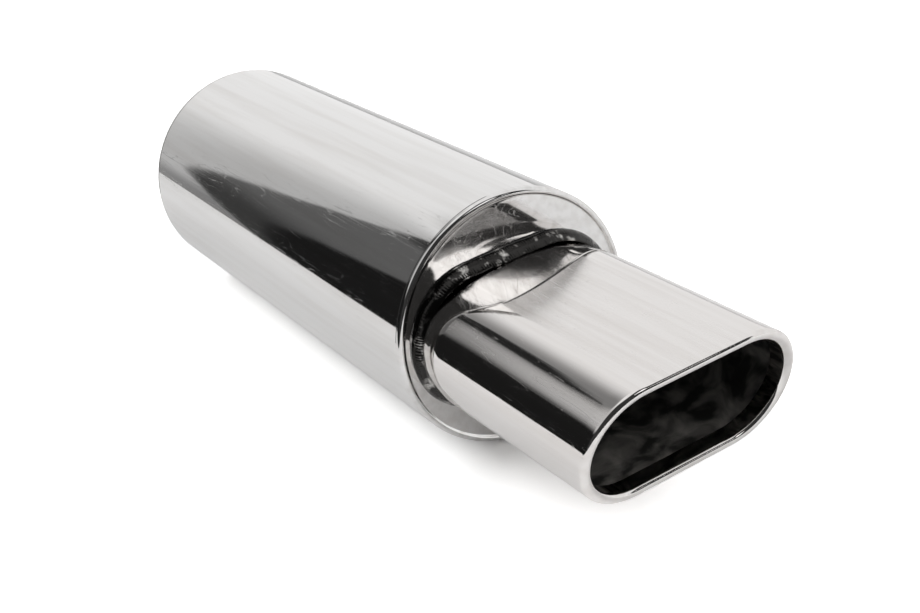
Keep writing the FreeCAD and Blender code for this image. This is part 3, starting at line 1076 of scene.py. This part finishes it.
def studio_panel(name, tone, fades, rows, behind=0.0):
    """A curved panel. Each row is (height, left, right), and behind is how far back it stands."""
    foot, head = rows[0][0], rows[-1][0]
    points, places = [], []
    for row in range(PANEL_STEPS + 1):
        height = foot + (head - foot) * row / PANEL_STEPS
        left, right = row_edges(rows, height)
        for column in range(PANEL_STEPS + 1):
            way = direction(left + (right - left) * column / PANEL_STEPS, height)
            points.append(PANEL_CENTRE + way * (PANEL_DISTANCE + behind))
            places.append((column / PANEL_STEPS, row / PANEL_STEPS))
    faces = []
    for row in range(PANEL_STEPS):
        for column in range(PANEL_STEPS):
            corner = row * (PANEL_STEPS + 1) + column
            faces.append((corner, corner + 1, corner + PANEL_STEPS + 2, corner + PANEL_STEPS + 1))
    mesh = bpy.data.meshes.new(name)
    mesh.from_pydata(points, [], faces)
    layer = mesh.uv_layers.new(name="panel")
    for loop in mesh.loops:
        layer.data[loop.index].uv = places[loop.vertex_index]
    mesh.materials.append(panel_material(name, tone, fades))
    panel = bpy.data.objects.new(name, mesh)
    bpy.context.collection.objects.link(panel)
    panel.visible_camera = False
    panel.visible_diffuse = False
    panel.visible_shadow = False


# %% [markdown]
# The panels on the far side make the can's dark wedge and the black band on the tip. A board that
# leans gives an edge that runs at a slant over the can, which an upright one can't. Their edges were
# found by following the line of sight from the camera by way of the metal, and then set one by one.

# %% Panels on the far side
FAR_PANELS = {
    "left_black": {
        "tone": 0.012, "fades": (0.1, 0.02, 0.01, 0.25), "behind": 0.0,
        "rows": [
            (-16, -100, -29.5), (-6, -100, -28.6), (3, -100, -28.8), (8, -100, -30.0),
            (14, -100, -32.5), (20, -100, -35), (28, -100, -35)],
    },
    "low_board": {
        "tone": 0.05, "fades": (0.1, 0.03, 0.01, 0.4), "behind": 0.1,
        "rows": [
            (-16, -38, -31.0), (-8, -38, -28.5), (-3, -38, -26.5), (-1, -38, -26.0),
            (3, -38, -25.2), (7, -38, -24.8), (14, -38, -24.3)],
    },
    "leaning_top": {
        "tone": 0.02, "fades": (0.3, 0.03, 0.3, 0.15), "behind": 0.2,
        "rows": [
            (28, -24, -19.5), (33, -20, -16), (36.5, -19, -12), (37.5, -30, -11),
            (39, -30, -9.5), (43, -26, -11)],
    },
    "leaning_board": {
        "tone": 0.13, "fades": (0.22, 0.02, 0.01, 0.05), "behind": 0.4,
        "rows": [
            (-3, -46, -26.6), (3, -46, -24.7), (15, -46, -24.0), (20, -42, -23.0), (25, -37, -21.3),
            (30, -31, -18.6), (33, -27, -16.0), (36, -22.5, -12.0), (40, -19, -9.5),
            (44, -18, -12.0)],
    },
    "high_shade": {
        "tone": 0.25, "fades": (0.2, 0.6, 0.12, 0.5), "behind": 0.5,
        "rows": [(35, -34, 20), (62, -34, 24)],
    },
    "low_grey": {
        "tone": 0.26, "fades": (0.05, 0.6, 0.01, 0.35), "behind": 0.55,
        "rows": [(-16, -34, -12), (2, -34, -16)],
    },
    "grey_shade": {
        "tone": 0.56, "fades": (0.05, 0.80, 0.01, 0.1), "behind": 0.6,
        "rows": [(-16, -34, -12), (38, -24, 2)],
    },
    "left_soft_light": {
        "tone": 0.64, "fades": (0.1, 0.1, 0.05, 0.3), "behind": 0.9,
        "rows": [(14, -110, -16), (70, -110, -10)],
    },
}

for name, panel in FAR_PANELS.items():
    studio_panel(name, **panel)
print("panels on the far side", len(FAR_PANELS))

# %% [markdown]
# The neck and the rear cap stand square to each other, so they mirror what is behind the camera. A
# bright box there, with darkness round it, gives the neck its pale patch. These edges were found in
# the same way as those of the far side.

# %% Panels on the camera's side
NEAR_PANELS = {
    "near_white_box": {
        "tone": 1.7, "fades": (0.01, 0.06, 0.03, 0.1), "behind": 0.0,
        "rows": [
            (16.5, 151.6, 157.5), (20, 151.6, 160), (22.6, 151.6, 162), (23.1, 151.15, 163),
            (26, 151.2, 164), (27.5, 151.55, 166), (33, 151.9, 170), (38, 152.4, 172)],
    },
    "near_light_foot": {
        "tone": 1.27, "fades": (0.1, 0.05, 0.1, 0.05), "behind": 0.1,
        "rows": [(20.5, 149.8, 152), (22.7, 149.8, 152)],
    },
    "near_grey_edge": {
        "tone": 0.42, "fades": (0.5, 0.02, 0.12, 0.1), "behind": 0.2,
        "rows": [(25.5, 149.2, 153), (36, 149.2, 153)],
    },
    "near_small_light": {
        "tone": 1.8, "fades": (0.1, 0.1, 0.1, 0.1), "behind": 0.3,
        "rows": [(12.5, 146.5, 150.2), (16.8, 146.5, 150.2)],
    },
    "near_dark": {
        "tone": 0.04, "fades": (0.02, 0.05, 0.02, 0.1), "behind": 0.8,
        "rows": [(-30, 143.5, 268), (5, 143.5, 268), (9, 138, 268), (75, 136, 268)],
    },
}

for name, panel in NEAR_PANELS.items():
    studio_panel(name, **panel)
print("panels on the camera's side", len(NEAR_PANELS))

# %% [markdown]
# The lamps are there for the shadow on the floor, which is dark close to the can and pale under the
# tip. Three soft ones shape it, the strongest from the far left. Their places and powers were fitted
# to the photograph's shadow. The metal doesn't mirror them, as the panels already stand for that.

# %% Lamps
LAMP_SIZE = 1.2
LAMP_DISTANCE = 2.0
LAMPS = {
    "key_lamp": {"turn": -60.0, "height": 50.0, "power": 22.0},
    "front_fill": {"turn": 180.0, "height": 40.0, "power": 11.0},
    "right_fill": {"turn": 135.0, "height": 32.0, "power": 18.0},
}


def soft_lamp(name, turn, height, power):
    """A soft square lamp that faces the part, with its power in watts."""
    data = bpy.data.lights.new(name, "AREA")
    data.shape = "SQUARE"
    data.size = LAMP_SIZE
    data.energy = power
    lamp = bpy.data.objects.new(name, data)
    way = direction(turn, height)
    lamp.location = PANEL_CENTRE + way * LAMP_DISTANCE
    lamp.rotation_euler = way.to_track_quat("Z", "Y").to_euler()
    bpy.context.collection.objects.link(lamp)
    lamp.visible_glossy = False
    print(name, "stands at", [round(v, 2) for v in lamp.location], "m with", power, "W")


for name, lamp in LAMPS.items():
    soft_lamp(name, **lamp)

# %% [markdown]
# The world is a white room. A strength of 1 is white, and that is what the camera sees, and what the
# metal mirrors when the camera looks at it. As a light that would wash out the shadow, so what only
# lights the part is plainer. A ray that has already left matt paper counts as light as well, also
# where it next meets the metal.

# %% World
ROOM_LEVEL = 0.24
WHITE = (1.0, 1.0, 1.0, 1.0)


def white_room():
    """White where the camera or the metal looks, and a plainer level where it only lights."""
    world = bpy.data.worlds.new("white_room")
    bpy.context.scene.world = world
    world.use_nodes = True
    tree = world.node_tree
    tree.nodes.clear()
    path = add(tree, "ShaderNodeLightPath")
    not_lighting = add(
        tree, "ShaderNodeMath", {"operation": "LESS_THAN"}, {1: 0.5}, {0: path.outputs["Diffuse Depth"]})
    in_metal = add(
        tree, "ShaderNodeMath", {"operation": "MULTIPLY"},
        links={0: path.outputs["Is Glossy Ray"], 1: not_lighting.outputs[0]})
    seen = add(
        tree, "ShaderNodeMath", {"operation": "ADD"},
        links={0: path.outputs["Is Camera Ray"], 1: in_metal.outputs[0]})
    seen_through = add(
        tree, "ShaderNodeMath", {"operation": "ADD", "use_clamp": True},
        links={0: seen.outputs[0], 1: path.outputs["Is Transmission Ray"]})
    room = add(tree, "ShaderNodeBackground", inputs={"Color": WHITE, "Strength": ROOM_LEVEL})
    white = add(tree, "ShaderNodeBackground", inputs={"Color": WHITE, "Strength": 1.0})
    mixed = add(
        tree, "ShaderNodeMixShader",
        links={0: seen_through.outputs[0], 1: room.outputs[0], 2: white.outputs[0]})
    add(tree, "ShaderNodeOutputWorld", links={"Surface": mixed.outputs[0]})
    print("the room lights the part at", ROOM_LEVEL)


white_room()

# %% [markdown]
# The camera stands where the photograph was taken from. Its place, its lean and its focal length
# come from fitting the known outlines of the part to the picture: the rims, the tip's flats and the
# lip. The focal length is kept in pixels of the picture, 920 of them wide, and the lens follows.

# %% Camera
CAMERA_PLACE = Vector((-0.2930, -0.8583, 0.3047))
VIEW_AZIMUTH = math.radians(-27.7245)
VIEW_ELEVATION = math.radians(26.7696)
VIEW_ROLL = math.radians(-10.0448)
FOCAL_PIXELS = 1391.74
IMAGE_WIDTH = 920
SENSOR_WIDTH = 36.0


def photo_camera():
    """A camera that looks at the part as the photograph does, a little rolled."""
    data = bpy.data.cameras.new("camera")
    data.sensor_width = SENSOR_WIDTH
    data.lens = SENSOR_WIDTH * FOCAL_PIXELS / IMAGE_WIDTH
    data.clip_start = 0.01
    data.clip_end = 50.0
    camera = bpy.data.objects.new("camera", data)
    bpy.context.collection.objects.link(camera)
    back = Vector((
        math.sin(VIEW_AZIMUTH) * math.cos(VIEW_ELEVATION),
        -math.cos(VIEW_AZIMUTH) * math.cos(VIEW_ELEVATION),
        math.sin(VIEW_ELEVATION)))
    forward = -back
    level_right = forward.cross(Vector((0, 0, 1))).normalized()
    level_up = level_right.cross(forward)
    right = level_right * math.cos(VIEW_ROLL) + level_up * math.sin(VIEW_ROLL)
    up = level_up * math.cos(VIEW_ROLL) - level_right * math.sin(VIEW_ROLL)
    turn = Matrix((right, up, back)).transposed().to_4x4()
    camera.matrix_world = Matrix.Translation(CAMERA_PLACE) @ turn
    bpy.context.scene.camera = camera
    print("the lens is", round(data.lens, 1), "mm")


photo_camera()
bpy.context.scene.view_settings.view_transform = "Standard"
